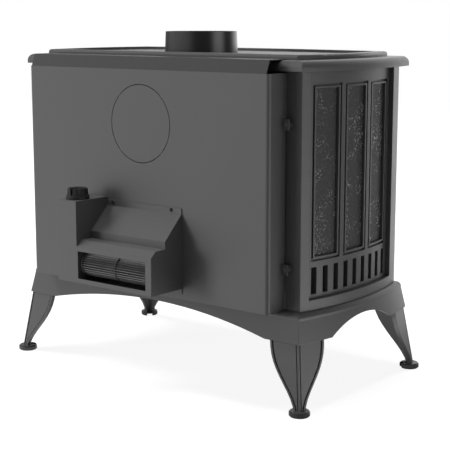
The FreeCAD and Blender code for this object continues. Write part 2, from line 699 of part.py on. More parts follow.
def blower():
    """Sheet-metal blower housing and control box with motor, fan, bush, gland and speed knob."""
    housing, control, foot = blower_span()
    face_y = shield_y + HOUSING_DEPTH

    def hood(x, by):
        slope = by * sqrt(1 + ((HOOD_RISE - HOOD_SHOULDER) / HOOD_DEPTH) ** 2)
        points = [
            (shield_y, foot + HOUSING_FOOT + by),
            (face_y - by, foot + HOUSING_FOOT + by),
            (face_y - by, foot + NOSE_RISE - by / 2),
            (shield_y + SHELF_DEPTH - by / 2, foot + SHELF_RISE - by),
            (shield_y + HOOD_DEPTH - by, foot + SHELF_RISE - by),
            (shield_y + HOOD_DEPTH - by, foot + HOOD_SHOULDER - by / 2),
            (shield_y, foot + HOOD_RISE - slope),
        ]
        return profile_prism(points, x)

    inside = (housing[0] + SHEET, housing[1] - SHEET)
    flange_z = (foot + HOUSING_FOOT - FLANGE_LAP, foot + HOOD_RISE + FLANGE_LAP)
    flange = box(housing, (shield_y, shield_y + SHEET), flange_z)
    mouth_x = (housing[0] + MOUTH_LEFT, housing[1] - MOUTH_RIGHT)
    mouth_z = (foot + HOUSING_FOOT + MOUTH_EDGE, foot + NOSE_RISE - MOUTH_EDGE)
    mouth = box(mouth_x, (face_y - 2 * SHEET, face_y), mouth_z)
    fan_axis = V(0, shield_y + FAN_SETBACK, foot + FAN_RISE)

    def along_fan(x):
        return fan_axis + V(x, 0, 0)

    shaft_r = FAN_SHAFT / 2
    pass_hole = rod(along_fan(housing[1] - 2 * SHEET), along_fan(control[0] + 2 * SHEET), BUSH_DIAMETER / 2)
    cuts = [hood(inside, SHEET), mouth, pass_hole] + housing_screw_holes()
    shell = joined(hood(housing, 0), flange).cut(cuts)
    pieces["blower_housing"] = [shell]
    pieces["blower_screws"] = [screw(seat, V(0, -1, 0)) for seat in housing_screw_seats()]

    control_z = (foot + HOUSING_FOOT, foot + CONTROL_RISE)
    cover = box(control, (shield_y, face_y), control_z)
    room_x = (control[0] + SHEET, control[1] - SHEET)
    room_z = (control_z[0] + SHEET, control_z[1] - SHEET)
    cover = cover.cut(box(room_x, (shield_y, face_y - SHEET), room_z))
    knob_axis = V((control[0] + control[1]) / 2, face_y - KNOB_SETBACK, 0)
    gland_axis = V(knob_axis.x, shield_y + GLAND_SETBACK, 0)

    def at(axis, z):
        return V(axis.x, axis.y, z)

    neck_hole = rod(at(knob_axis, room_z[1]), at(knob_axis, control_z[1]), NECK / 2 + SEAM)
    gland_hole = rod(at(gland_axis, control_z[0]), at(gland_axis, room_z[0]), GLAND / 2 + SEAM)
    pieces["control_box"] = [cover.cut([pass_hole, neck_hole, gland_hole])]

    gland_seat = at(gland_axis, room_z[0])
    gland = rod(at(gland_axis, control_z[0] - GLAND_LENGTH), gland_seat, GLAND / 2)
    collar = rod(gland_seat, gland_seat + V(0, 0, GLAND_FLANGE), GLAND / 2 + GLAND_FLANGE)
    bore = rod(at(gland_axis, 0), at(gland_axis, room_z[1]), GLAND_BORE / 2)
    pieces["cord_gland"] = [joined(gland, collar).cut(bore)]

    motor_x = (room_x[0], room_x[0] + MOTOR_LENGTH)
    shaft_x = (inside[0] + SEAM, motor_x[0] + MOTOR_BEARING)
    shaft_bore = rod(along_fan(shaft_x[0] - SHEET), along_fan(shaft_x[1] + SEAM), shaft_r + SHAFT_PLAY)
    motor = rod(along_fan(motor_x[0]), along_fan(motor_x[1]), MOTOR_DIAMETER / 2)
    rims = [edge for edge in motor.Edges if edge.Closed]
    pieces["fan_motor"] = [motor.makeChamfer(2 * SHEET, rims).cut(shaft_bore)]
    bush = rod(along_fan(inside[0]), along_fan(inside[0] + BUSH_LENGTH), BUSH_DIAMETER / 2)
    pieces["fan_bush"] = [bush.cut(shaft_bore)]
    pieces["fan_shaft"] = [rod(along_fan(shaft_x[0]), along_fan(shaft_x[1]), shaft_r)]

    fan_x = (inside[0] + BUSH_LENGTH + BUSH_PLAY, inside[1] - FAN_END_GAP)
    wheel = []
    for x in (fan_x[0], (fan_x[0] + fan_x[1] - FAN_DISC) / 2, fan_x[1] - FAN_DISC):
        wheel.append(rod(along_fan(x), along_fan(x + FAN_DISC), FAN_RADIUS))
    for k in range(FAN_BLADES):
        blade = box(fan_x, (-FAN_BLADE_THICKNESS / 2, FAN_BLADE_THICKNESS / 2), (-FAN_BLADE_DEPTH, 0))
        blade.rotate(V(0, 0, -FAN_BLADE_DEPTH), V(1, 0, 0), FAN_BLADE_TILT)
        blade.translate(V(0, 0, FAN_RADIUS))
        blade.rotate(V(0, 0, 0), V(1, 0, 0), k * 360 / FAN_BLADES)
        blade.translate(fan_axis)
        wheel.append(blade)
    wheel = joined(*wheel).cut(rod(along_fan(fan_x[0]), along_fan(fan_x[1]), shaft_r + SHAFT_PLAY / 2))
    pieces["fan_impeller"] = [wheel]

    speed_z = room_z[1] - SPEED_CONTROL_HEIGHT
    neck_z = control_z[1] + SHEET
    can = rod(at(knob_axis, speed_z), at(knob_axis, room_z[1]), SPEED_CONTROL_DIAMETER / 2)
    neck = rod(at(knob_axis, room_z[1] - SHEET), at(knob_axis, neck_z), NECK / 2)
    spindle_z = (speed_z + SHEET, control_z[1] + KNOB_GAP + KNOB_HEIGHT / 2)
    spindle_bore = rod(at(knob_axis, spindle_z[0] - SEAM), at(knob_axis, rim_z), SPINDLE / 2 + SHAFT_PLAY)
    pieces["speed_control"] = [joined(can, neck).cut(spindle_bore)]
    pieces["knob_spindle"] = [rod(at(knob_axis, spindle_z[0]), at(knob_axis, spindle_z[1]), SPINDLE / 2)]
    pieces["speed_knob"] = [speed_knob(at(knob_axis, control_z[1] + KNOB_GAP), neck_z, spindle_z[1])]


def speed_knob(foot, neck_z, spindle_top):
    """Round knob with a sloped skirt, a scalloped grip and a raised pointer."""
    up = V(0, 0, 1)
    skirt_r, grip_r = KNOB_SKIRT / 2, KNOB_GRIP / 2
    profile = [(0, 0), (skirt_r, 0), (skirt_r, KNOB_SKIRT_HEIGHT / 2), (grip_r, KNOB_SKIRT_HEIGHT)]
    crown_r = grip_r - KNOB_TAPER
    profile += [(crown_r, KNOB_HEIGHT - KNOB_EDGE), (crown_r - KNOB_EDGE, KNOB_HEIGHT), (0, KNOB_HEIGHT)]
    knob = turned(profile, foot, up)
    cuts = []
    reach = grip_r + KNOB_SCALLOP_RADIUS - KNOB_SCALLOP_DEPTH
    for k in range(KNOB_SCALLOPS):
        angle = (k + 0.5) * 2 * pi / KNOB_SCALLOPS
        centre = foot + V(reach * cos(angle), reach * sin(angle), KNOB_SKIRT_HEIGHT)
        cuts.append(rod(centre, centre + up * KNOB_HEIGHT, KNOB_SCALLOP_RADIUS))
    pocket_top = V(foot.x, foot.y, neck_z + KNOB_GAP)
    cuts.append(rod(foot, pocket_top, NECK / 2 + KNOB_GAP))
    cuts.append(rod(foot, V(foot.x, foot.y, spindle_top), SPINDLE / 2 + SHAFT_PLAY / 2))
    pointer_z = (KNOB_SKIRT_HEIGHT / 2, KNOB_HEIGHT + KNOB_GAP)
    pointer = box((0, grip_r + KNOB_TAPER), (-POINTER_WIDTH / 2, POINTER_WIDTH / 2), pointer_z)
    pointer.rotate(V(0, 0, 0), up, 90)
    pointer.translate(foot)
    return joined(knob.cut(cuts[:KNOB_SCALLOPS]), pointer).cut(cuts[KNOB_SCALLOPS:])


hearth_z = (body_z[0], body_z[0] + HEARTH_THICKNESS)
firebox_z = (hearth_z[1], body_z[1] - FIREBOX_TOP_GAP)
firebox_half = BODY_HALF_WIDTH - FRAME_THICKNESS - FIREBOX_SIDE_GAP
firebox_y = (backing_y, rear_y - REAR_WALL - FIREBOX_REAR_GAP)
ash_z = (firebox_z[0] + FIREBOX_WALL, firebox_z[0] + FIREBOX_WALL + ASH_HEIGHT)
fire_z = (ash_z[1] + FIREBOX_WALL, firebox_z[1] - FIREBOX_WALL)
fire_half = firebox_half - FIREBOX_WALL
fire_rear = firebox_y[1] - FIREBOX_WALL


def firebox():
    """Firebox of welded plates on a hearth plate, with its bricks, grate, baffle and air tubes."""
    across = (-firebox_half, firebox_half)
    pieces["hearth_plate"] = [box(across, firebox_y, hearth_z)]
    room_y = (firebox_y[0], fire_rear)
    flue = V(0, FLUE_SETBACK, 0)
    flue_r = FLUE_BORE / 2 + SPIGOT_WALL + SEAM
    flue_hole = rod(flue + V(0, 0, fire_z[1]), flue + V(0, 0, firebox_z[1]), flue_r)
    grate_x = (-GRATE_HALF_WIDTH, GRATE_HALF_WIDTH)
    grate_y = (-GRATE_HALF_DEPTH, GRATE_HALF_DEPTH)
    room_x = (-fire_half, fire_half)
    wall_span = (ash_z[0], fire_z[1])
    side = box((-firebox_half, -fire_half), firebox_y, wall_span)
    pieces["firebox_shell"] = [
        box(across, firebox_y, (firebox_z[0], ash_z[0])),
        side,
        mirrored(side),
        box(room_x, (fire_rear, firebox_y[1]), wall_span),
        box(room_x, room_y, (ash_z[1], fire_z[0])).cut(box(grate_x, grate_y, (ash_z[1], fire_z[0]))),
        box(across, firebox_y, (fire_z[1], firebox_z[1])).cut(flue_hole),
    ]

    grate_z = (fire_z[0], fire_z[0] + GRATE_THICKNESS)
    lap_x = (grate_x[0] - GRATE_SEAT, grate_x[1] + GRATE_SEAT)
    lap_y = (grate_y[0] - GRATE_SEAT, grate_y[1] + GRATE_SEAT)
    slits = []
    gap = (grate_x[1] - grate_x[0] - GRATE_BARS * GRATE_BAR) / (GRATE_BARS + 1)
    for slit_x in spread(GRATE_BARS + 1, gap, *grate_x):
        slits.append(box(slit_x, (grate_y[0] + GRATE_BAR, grate_y[1] - GRATE_BAR), grate_z))
    pieces["grate"] = [box(lap_x, lap_y, grate_z).cut(slits)]

    floor_z = (fire_z[0], fire_z[0] + BRICK)
    front = firebox_y[0] + SEAM
    clear_x = (lap_x[0] - SEAM, lap_x[1] + SEAM)
    clear_y = (lap_y[0] - SEAM, lap_y[1] + SEAM)
    edge_x = (-fire_half + SEAM, fire_half - SEAM)
    edge_y = (front, fire_rear - SEAM)
    pieces["firebrick_floor"] = [
        box((edge_x[0], clear_x[0]), edge_y, floor_z),
        box((clear_x[1], edge_x[1]), edge_y, floor_z),
        box(clear_x, (edge_y[0], clear_y[0]), floor_z),
        box(clear_x, (clear_y[1], edge_y[1]), floor_z),
    ]
    tube_z = fire_z[1] - AIR_TUBE_DROP
    wall_z = (floor_z[1], tube_z - AIR_TUBE / 2 - SEAM)
    side_y = (front, edge_y[1] - BRICK)
    depth = (side_y[1] - side_y[0]) / SIDE_BRICKS
    left = [box((edge_x[0], edge_x[0] + BRICK), y, wall_z) for y in spread(SIDE_BRICKS, depth, *side_y)]
    pieces["firebrick_left"] = left
    pieces["firebrick_right"] = [mirrored(brick) for brick in left]
    width = (edge_x[1] - edge_x[0]) / REAR_BRICKS
    rear_y_span = (edge_y[1] - BRICK, edge_y[1])
    pieces["firebrick_rear"] = [box(x, rear_y_span, wall_z) for x in spread(REAR_BRICKS, width, *edge_x)]

    tubes = []
    for k in range(AIR_TUBES):
        y = edge_y[1] - BRICK - AIR_TUBE - k * AIR_TUBE_PITCH
        ends = (V(edge_x[0], y, tube_z), V(edge_x[1], y, tube_z))
        tubes.append(rod(*ends, AIR_TUBE / 2).cut(rod(*ends, AIR_TUBE / 2 - AIR_TUBE_WALL)))
    pieces["secondary_air_tubes"] = tubes
    baffle_z = tube_z + AIR_TUBE / 2 + SEAM
    baffle_y = (front + BAFFLE_FRONT_GAP, edge_y[1])
    pieces["baffle_board"] = [box(edge_x, baffle_y, (baffle_z, baffle_z + BAFFLE))]


door_half = BODY_HALF_WIDTH - DOOR_STILE
door_z = (body_z[0] + DOOR_SILL, body_z[1] - DOOR_HEAD)
door_back = front_back_y - DOOR_STANDOFF
drawer_z = (body_z[0] + DRAWER_SILL, body_z[0] + DRAWER_SILL + DRAWER_HEIGHT)
air_z = (ash_z[0] + SEAM, ash_z[0] + SEAM + AIR_PLATE_THICKNESS)
hinge_x = -door_half - HINGE_OFFSET
hinge_y = front_y(hinge_x) - KNUCKLE / 2 - HINGE_CLEAR
hinge_levels = (door_z[0] + HINGE_INSET, door_z[1] - HINGE_INSET)
handle_x = door_half - HANDLE_INSET
handle_z = (door_z[0] + door_z[1]) / 2


def widened(span, by):
    """A span grown by the same amount at both ends."""
    return span[0] - by, span[1] + by


def front():
    """Bowed front casting with door, drawer and air openings, and the door's hinge ears and pins."""
    casting = front_block((-far, far), front_back_y, body_z)
    backing_half = BODY_HALF_WIDTH - BACKING_INSET
    backing = box((-backing_half, backing_half), (front_back_y, backing_y), body_z)
    door_x = (-door_half, door_half)
    doorway = box(widened(door_x, DOOR_GAP), (-far, front_back_y), widened(door_z, DOOR_GAP))
    lip = box(widened(door_x, -DOOR_LIP), (-far, backing_y), widened(door_z, -DOOR_LIP))
    drawer_x = (-DRAWER_HALF_WIDTH, DRAWER_HALF_WIDTH)
    drawer_hole = box(widened(drawer_x, DOOR_GAP), (-far, backing_y), widened(drawer_z, DOOR_GAP))
    slot_half = AIR_LEVER_WIDTH / 2 + AIR_TRAVEL + AIR_SLOT_PLAY
    air_slot = box((-slot_half, slot_half), (-far, backing_y), widened(air_z, AIR_SLOT_PLAY / 2))
    ears = []
    pins = []
    bore = []
    for level in hinge_levels:
        inner = KNUCKLE_HEIGHT / 2 + SEAM
        outer = inner + EAR_KNUCKLE_HEIGHT
        for z in ((level - outer, level - inner), (level + inner, level + outer)):
            barrel = rod(V(hinge_x, hinge_y, z[0]), V(hinge_x, hinge_y, z[1]), KNUCKLE / 2)
            root = box((hinge_x - KNUCKLE / 2, hinge_x + KNUCKLE / 3), (hinge_y, front_back_y), z)
            ears += [barrel, root]
        ends = (V(hinge_x, hinge_y, level - outer), V(hinge_x, hinge_y, level + outer))
        pins.append(rod(*ends, HINGE_PIN / 2))
        bore.append(rod(*ends, HINGE_PIN / 2 + SHAFT_PLAY / 2))
    casting = joined(casting, backing, *ears)
    pieces["front_casting"] = [casting.cut([doorway, lip, drawer_hole, air_slot] + bore)]
    pieces["door_hinge_pins"] = pins


def arched_opening(half, z, y):
    """Window opening with a shallow arched head, running along Y."""
    spring = z[1] - DOOR_ARCH_RISE
    corners = [V(-half, y[0], spring), V(-half, y[0], z[0]), V(half, y[0], z[0]), V(half, y[0], spring)]
    head = Part.Arc(corners[3], V(0, y[0], z[1]), corners[0]).toShape()
    lines = [Part.makeLine(corners[k], corners[k + 1]) for k in range(3)]
    return Part.Face(Part.Wire(lines + [head])).extrude(V(0, y[1] - y[0], 0))


def door():
    """Bowed cast door with an arched window, glass, clips, rope seal and hinge knuckles."""
    door_x = (-door_half, door_half)
    frame = front_block(door_x, door_back, door_z)
    window_half = door_half - DOOR_RAIL
    window_z = widened(door_z, -DOOR_RAIL)
    opening = arched_opening(window_half, window_z, (-far, door_back))
    glass_x = (-window_half - GLASS_LAP, window_half + GLASS_LAP)
    glass_z = widened(window_z, GLASS_LAP)
    glass_y = (door_back - GLASS, door_back)
    pocket = box(widened(glass_x, GLASS_PLAY), (glass_y[0] - SEAM, door_back), widened(glass_z, GLASS_PLAY))
    pieces["door_glass"] = [box(glass_x, glass_y, glass_z)]

    rope_mid = (DOOR_LIP - DOOR_GAP) / 2
    rope_out = (widened(door_x, ROPE / 2 - rope_mid), widened(door_z, ROPE / 2 - rope_mid))
    rope_in = (widened(door_x, -ROPE / 2 - rope_mid), widened(door_z, -ROPE / 2 - rope_mid))

    def rope_ring(y, ease):
        outer = box(widened(rope_out[0], ease), y, widened(rope_out[1], ease))
        return outer.cut(box(widened(rope_in[0], -ease), y, widened(rope_in[1], -ease)))

    rope_y = (door_back - ROPE_GROOVE + SEAM, front_back_y - SEAM)
    pieces["door_rope_seal"] = [rope_ring(rope_y, 0)]
    groove = rope_ring((door_back - ROPE_GROOVE, door_back), SEAM)

    arms = []
    bores = []
    for level in hinge_levels:
        z = (level - KNUCKLE_HEIGHT / 2, level + KNUCKLE_HEIGHT / 2)
        barrel = rod(V(hinge_x, hinge_y, z[0]), V(hinge_x, hinge_y, z[1]), KNUCKLE / 2)
        outside = front_y(-door_half - DOOR_GAP) - HINGE_CLEAR
        strap = box((hinge_x, -door_half + HINGE_OFFSET), (hinge_y - KNUCKLE / 3, outside), z)
        tail = (-door_half, -door_half + HINGE_OFFSET)
        arms += [barrel, strap, box(tail, (hinge_y - KNUCKLE / 3, door_back - KNUCKLE), z)]
        bores.append(rod(V(hinge_x, hinge_y, z[0]), V(hinge_x, hinge_y, z[1]), HINGE_PIN / 2 + SHAFT_PLAY))
    bore_ends = (V(handle_x, -far, handle_z), V(handle_x, door_back, handle_z))
    handle_bore = rod(*bore_ends, HANDLE_SHAFT / 2 + SHAFT_PLAY)
    frame = joined(frame.cut([opening, pocket, groove, handle_bore]), *arms).cut(bores)
    pieces["door_frame"] = [frame]

    clips = []
    clip_y = (door_back, door_back + SHEET)
    reach = GLASS_LAP + GLASS_PLAY + CLIP_REACH
    for x in (-window_half / 2, window_half / 2):
        for z in (window_z[0] - reach, window_z[1]):
            clips.append(box((x - CLIP_WIDTH / 2, x + CLIP_WIDTH / 2), clip_y, (z, z + reach)))
    pieces["glass_clips"] = clips


def handle():
    """Latch shaft through the door with a tongue inside and a hanging lever and grip outside."""
    outside = front_y(handle_x - HANDLE_HUB / 2) - SEAM
    inside = backing_y + SHEET
    axis_y = V(0, 1, 0)
    centre = V(handle_x, 0, handle_z)
    lever_y = outside - HANDLE_STANDOFF
    lever_top = V(handle_x, lever_y, handle_z)
    shaft = rod(lever_top, centre + axis_y * (inside + TONGUE_THICKNESS), HANDLE_SHAFT / 2)
    hub = rod(lever_top, centre + axis_y * outside, HANDLE_HUB / 2)
    half = TONGUE_WIDTH / 2
    tongue = box((handle_x - half, handle_x + half), (inside, inside + TONGUE_THICKNESS),
                 (handle_z - half, handle_z + TONGUE_REACH))
    lever = rod(lever_top, lever_top - V(0, 0, HANDLE_LEVER), HANDLE_NECK / 2)
    boss = rod(lever_top - axis_y * HANDLE_NECK / 2, lever_top + axis_y * HANDLE_NECK / 2, HANDLE_HUB / 2)
    pieces["handle_lever"] = [joined(shaft, hub, tongue, lever, boss)]

    grip_r, neck_r = GRIP_DIAMETER / 2, HANDLE_NECK / 2 + SHAFT_PLAY / 2
    profile = [(neck_r, 0), (GRIP_END / 2, 0), (grip_r, GRIP_TAPER), (grip_r, GRIP_LENGTH - GRIP_TAPER)]
    profile += [(GRIP_END / 2, GRIP_LENGTH), (neck_r, GRIP_LENGTH)]
    pieces["handle_grip"] = [turned(profile, lever_top - V(0, 0, HANDLE_LEVER), V(0, 0, 1))]


def ash_drawer():
    """Ash pan behind a bowed drawer front with a turned pull, running on two rails."""
    front_back = front_back_y - SHEET
    drawer_x = (-DRAWER_HALF_WIDTH, DRAWER_HALF_WIDTH)
    pieces["ash_drawer_front"] = [front_block(drawer_x, front_back, drawer_z)]
    pan_z = (drawer_z[0] + PAN_RISE, drawer_z[0] + PAN_RISE + PAN_HEIGHT)
    pan_x = (-PAN_HALF_WIDTH, PAN_HALF_WIDTH)
    pan_y = (front_back, fire_rear - PAN_REAR_GAP)
    pan = box(pan_x, pan_y, pan_z)
    hollow = box(widened(pan_x, -SHEET), widened(pan_y, -SHEET), (pan_z[0] + SHEET, pan_z[1]))
    pieces["ash_pan"] = [pan.cut(hollow)]
    middle = (drawer_z[0] + drawer_z[1]) / 2
    stem_r, ball_r = PULL_STEM / 2, PULL_DIAMETER / 2
    neck = PULL_REACH - ball_r
    face_r = PULL_FACE / 2
    profile = [(0, 0), (stem_r, 0), (stem_r, neck - stem_r), (face_r, neck), (ball_r, neck + PULL_EDGE)]
    profile += [(face_r, PULL_REACH - PULL_CROWN), (0, PULL_REACH)]
    pieces["drawer_pull"] = [turned(profile, V(0, front_y(0), middle), V(0, -1, 0))]

    rail_z = (ash_z[0], pan_z[0] - SEAM)
    rail_y = (backing_y + AIR_PLATE_DEPTH + DOOR_GAP, fire_rear)
    left = box((pan_x[0], pan_x[0] + RAIL_WIDTH), rail_y, rail_z)
    pieces["drawer_rails"] = [left, mirrored(left)]


def air_control():
    """Sliding primary air plate with a lever through the front casting and a turned knob."""
    plate_y = (backing_y + SEAM, backing_y + SEAM + AIR_PLATE_DEPTH)
    plate = box((-AIR_PLATE_HALF_WIDTH, AIR_PLATE_HALF_WIDTH), plate_y, air_z)
    lever_half = AIR_LEVER_WIDTH / 2
    knob_y = front_y(0) - AIR_KNOB_GAP
    lever = box((-lever_half, lever_half), (knob_y - AIR_KNOB_LENGTH / 2, plate_y[0]), air_z)
    pieces["air_slide"] = [joined(plate, lever)]
    radius = AIR_KNOB / 2
    shoulder = AIR_KNOB_LENGTH - AIR_KNOB_TAPER
    profile = [(0, 0), (AIR_KNOB_END / 2, 0), (radius, AIR_KNOB_TAPER), (radius, shoulder)]
    profile += [(AIR_KNOB_END / 2, AIR_KNOB_LENGTH), (0, AIR_KNOB_LENGTH)]
    middle = (air_z[0] + air_z[1]) / 2
    knob = turned(profile, V(0, knob_y, middle), V(0, -1, 0))
    pieces["air_knob"] = [knob.cut(lever)]


legs()
base()
sides()
top()
rear()
blower()
firebox()
front()
door()
handle()
ash_drawer()
air_control()

overall = Part.makeCompound([solid for solids in pieces.values() for solid in solids]).optimalBoundingBox()
origin_y = (overall.YMin + overall.YMax) / 2
os.makedirs("parts", exist_ok=True)
for name, solids in pieces.items():
    shape = Part.makeCompound(solids)
    shape.translate(V(0, -origin_y, 0))
    print(name, len(shape.Solids), shape.isValid(), round(shape.Volume))
    shape.exportStep(f"parts/{name}.step")
print("overall", overall, "origin_y", origin_y)
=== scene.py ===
from math import cos, pi, radians, sin, tau

import bmesh
import bpy
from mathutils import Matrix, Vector


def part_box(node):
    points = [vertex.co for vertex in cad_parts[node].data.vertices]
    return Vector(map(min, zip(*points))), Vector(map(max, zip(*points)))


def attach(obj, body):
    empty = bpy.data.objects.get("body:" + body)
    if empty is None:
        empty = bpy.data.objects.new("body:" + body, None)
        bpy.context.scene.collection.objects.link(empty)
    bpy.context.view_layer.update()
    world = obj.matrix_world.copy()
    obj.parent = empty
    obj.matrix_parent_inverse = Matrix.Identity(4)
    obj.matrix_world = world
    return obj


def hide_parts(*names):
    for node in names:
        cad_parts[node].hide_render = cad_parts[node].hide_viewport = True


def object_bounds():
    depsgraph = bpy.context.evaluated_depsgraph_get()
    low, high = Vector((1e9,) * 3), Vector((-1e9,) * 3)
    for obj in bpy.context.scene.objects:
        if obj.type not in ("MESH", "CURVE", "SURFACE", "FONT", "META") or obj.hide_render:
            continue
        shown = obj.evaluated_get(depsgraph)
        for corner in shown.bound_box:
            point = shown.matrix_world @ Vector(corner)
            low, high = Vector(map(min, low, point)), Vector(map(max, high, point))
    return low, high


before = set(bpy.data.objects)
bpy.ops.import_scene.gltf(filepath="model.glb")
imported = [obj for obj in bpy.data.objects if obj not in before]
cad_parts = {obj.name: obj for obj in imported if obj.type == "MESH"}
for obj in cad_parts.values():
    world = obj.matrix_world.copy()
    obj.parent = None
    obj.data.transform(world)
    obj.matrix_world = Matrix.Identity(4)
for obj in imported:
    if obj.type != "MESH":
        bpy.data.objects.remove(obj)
cad_low, cad_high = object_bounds()

# Legs
# Four splayed legs, each two curved webs that meet in a grooved ridge over a notched round foot. They are
# sand-cast iron, fettled, sprayed with charcoal stove paint and bolted up under the base's corners.
CAST_TONE = 0.080
CAST_SURFACE = {"roughness": 0.42, "grain": 650.0, "depth": 0.0002}
LEG_EDGE = 0.0012
# The feet are painted darker below a set height: painted shade where the legs meet the floor.
SHADED_FOOT_TOP = 0.0125
FOOT_SHADE_FADE = 0.002
FOOT_SHADE_TONE = 0.030
PAINT_SHEEN = 0.5
PAINT_SPREAD = 0.12
RUBBED_TONE = 1.6
RUBBED_TURN = (0.01, 0.15)
RUBBED_PATCHES = (0.8, 1.3)


class Shade:
    """One value in a material's nodes. Arithmetic on it adds Math nodes."""

    def __init__(self, tree, socket=None):
        self.tree = tree
        self.socket = socket

    def add(self, kind, settings=None, inputs=None, output=0):
        """Adds a node, makes its settings, fills or links its sockets, and gives one of its outputs."""
        node = self.tree.nodes.new("ShaderNode" + kind)
        for name, value in (settings or {}).items():
            if name == "stops":
                stops = node.color_ramp.elements
                while len(stops) < len(value):
                    stops.new(1.0)
                for stop, (position, colour) in zip(stops, value):
                    stop.position = position
                    stop.color = colour
            else:
                setattr(node, name, value)
        for name, value in (inputs or {}).items():
            if isinstance(value, Shade):
                self.tree.links.new(value.socket, node.inputs[name])
            else:
                node.inputs[name].default_value = value
        return Shade(self.tree, node.outputs[output] if node.outputs else None)

    def math(self, operation, left, right):
        """Adds one Math node."""
        return self.add("Math", {"operation": operation}, {0: left, 1: right})

    def __add__(self, other):
        return self.math("ADD", self, other)

    def __radd__(self, other):
        return self.math("ADD", other, self)

    def __sub__(self, other):
        return self.math("SUBTRACT", self, other)

    def __rsub__(self, other):
        return self.math("SUBTRACT", other, self)

    def __mul__(self, other):
        return self.math("MULTIPLY", self, other)

    def __rmul__(self, other):
        return self.math("MULTIPLY", other, self)

    def __abs__(self):
        return self.math("ABSOLUTE", self, 0.0)


def blank_finish(name):
    """A material with no nodes yet, where its nodes start, and the place on the piece in metres."""
    material = bpy.data.materials.new(name)
    material.use_nodes = True
    material.node_tree.nodes.clear()
    shade = Shade(material.node_tree)
    return material, shade, shade.add("TexCoord", output="Object")


def surface(shade, **sockets):
    """Closes a material with one principled surface."""
    names = {name.replace("_", " "): value for name, value in sockets.items()}
    shade.add("OutputMaterial", None, {"Surface": shade.add("BsdfPrincipled", None, names)})


def grey(level):
    """A neutral colour."""
    return level, level, level, 1.0


def mixed(factor, low, high):
    """A colour that goes from low to high with the factor, through the Mix node's numbered colour sockets."""
    return factor.add("Mix", {"data_type": "RGBA"}, {0: factor, 6: low, 7: high}, 2)


def noise(place, lumps, detail=3.0):
    """Soft random clouds from 0 to 1, with that many lumps to a metre."""
    return place.add("TexNoise", None, {"Vector": place, "Scale": lumps, "Detail": detail}, "Fac")


def step(value, low, high):
    """0 below low and 1 above high, eased between."""
    limits = {"Value": value, "From Min": low, "From Max": high}
    return value.add("MapRange", {"interpolation_type": "SMOOTHSTEP"}, limits)


def along_axis(place, axis):
    """How far along X, Y or Z a place is."""
    return place.add("SeparateXYZ", None, {"Vector": place}, axis)


def eased_edges(shade, radius):
    """Normal that rounds a piece's edges to that radius."""
    return shade.add("Bevel", {"samples": 4}, {"Radius": radius})


def relief(height, depth, under=None):
    """Normal of a surface with bumps of that depth, on top of another normal."""
    sockets = {"Height": height, "Distance": depth}
    if under:
        sockets["Normal"] = under
    return height.add("Bump", None, sockets)


def stove_paint(name, tone, roughness, grain, depth, edge, foot=0.0):
    """Matt paint: a cloudy tone, the grain of the metal under it, and edges rubbed thin here and there."""
    material, shade, place = blank_finish(name)
    cloud = noise(place, 6.0, detail=5.0)
    grit = noise(place, grain)
    swell = noise(place, grain / 4, detail=2.0)
    eased = eased_edges(shade, edge)
    facing = shade.add("NewGeometry", output="Normal")
    flatness = shade.add("VectorMath", {"operation": "DOT_PRODUCT"}, {0: eased, 1: facing}, "Value")
    rubbed = step(1 - flatness, *RUBBED_TURN) * step(cloud + grit, *RUBBED_PATCHES)
    dark = grey(tone * (1 - PAINT_SPREAD))
    pale = grey(tone * (1 + PAINT_SPREAD))
    coat = mixed(cloud * 0.5 + grit * 0.5, dark, pale)
    coat = mixed(rubbed * 0.5, coat, grey(tone * RUBBED_TONE))
    # Below the foot height the coat is painted darker: painted shade near the floor.
    if foot:
        coat = mixed(step(along_axis(place, "Z"), foot - FOOT_SHADE_FADE, foot), grey(FOOT_SHADE_TONE), coat)
    surface(
        shade,
        Base_Color=coat,
        Roughness=roughness + (cloud - 0.5) * 0.14 + (grit - 0.5) * 0.12,
        Specular_IOR_Level=PAINT_SHEEN,
        Normal=relief(grit + swell, depth, eased),
    )
    return material


def dress(material, *nodes):
    """Gives CAD nodes a finish."""
    for node in nodes:
        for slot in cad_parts[node].material_slots:
            slot.material = material


sides = ("left", "right")
leg_paint = stove_paint("leg_paint", CAST_TONE, **CAST_SURFACE, edge=LEG_EDGE, foot=SHADED_FOOT_TOP)
dress(leg_paint, *[f"leg_{end}_{side}" for end in ("rear", "front") for side in sides])

# Base
# A deep flared skirt with an arch on each side, a rolled shoulder and a deck that the whole body stands on.
# One sand casting in the same paint as the legs, with a slightly softer edge.
BODY_EDGE = 0.0018
cast_paint = stove_paint("cast_paint", CAST_TONE, **CAST_SURFACE, edge=BODY_EDGE)
dress(cast_paint, "base_casting")

# Leg bolts
# Hexagon bolts that hold each leg's lug up under the base's flange, one at a corner. Rolled steel, zinc
# plated, driven from below.
ZINC_DARK = (0.34, 0.34, 0.35, 1.0)
ZINC_BRIGHT = (0.56, 0.56, 0.57, 1.0)
ZINC_GRAIN = (700.0, 700.0, 90.0)
METAL_EDGE = 0.0004
METAL_MARKS_DEPTH = 0.00003


def stretched(place, x, y, z):
    """A place scaled differently along each axis."""
    return place.add("VectorMath", {"operation": "MULTIPLY"}, {0: place, 1: (x, y, z)})


def grained(place, lumps, detail=3.0):
    """Noise with its own lumps to a metre along X, Y and Z, for what is ground, drawn, rolled or fibrous."""
    return noise(stretched(place, *lumps), 1.0, detail)


def bare_metal(name, dark, bright, roughness, grain):
    """Plated or machined metal: hazy, with fine marks along its grain."""
    material, shade, place = blank_finish(name)
    haze = noise(place, 60.0, detail=5.0)
    marks = grained(place, grain)
    surface(
        shade,
        Base_Color=mixed(haze, dark, bright),
        Metallic=1.0,
        Roughness=roughness + (marks - 0.5) * 0.25 + (haze - 0.5) * 0.15,
        Normal=relief(marks, METAL_MARKS_DEPTH, eased_edges(shade, METAL_EDGE)),
    )
    return material


zinc = bare_metal("zinc_plate", ZINC_DARK, ZINC_BRIGHT, roughness=0.38, grain=ZINC_GRAIN)
dress(zinc, "leg_bolts")

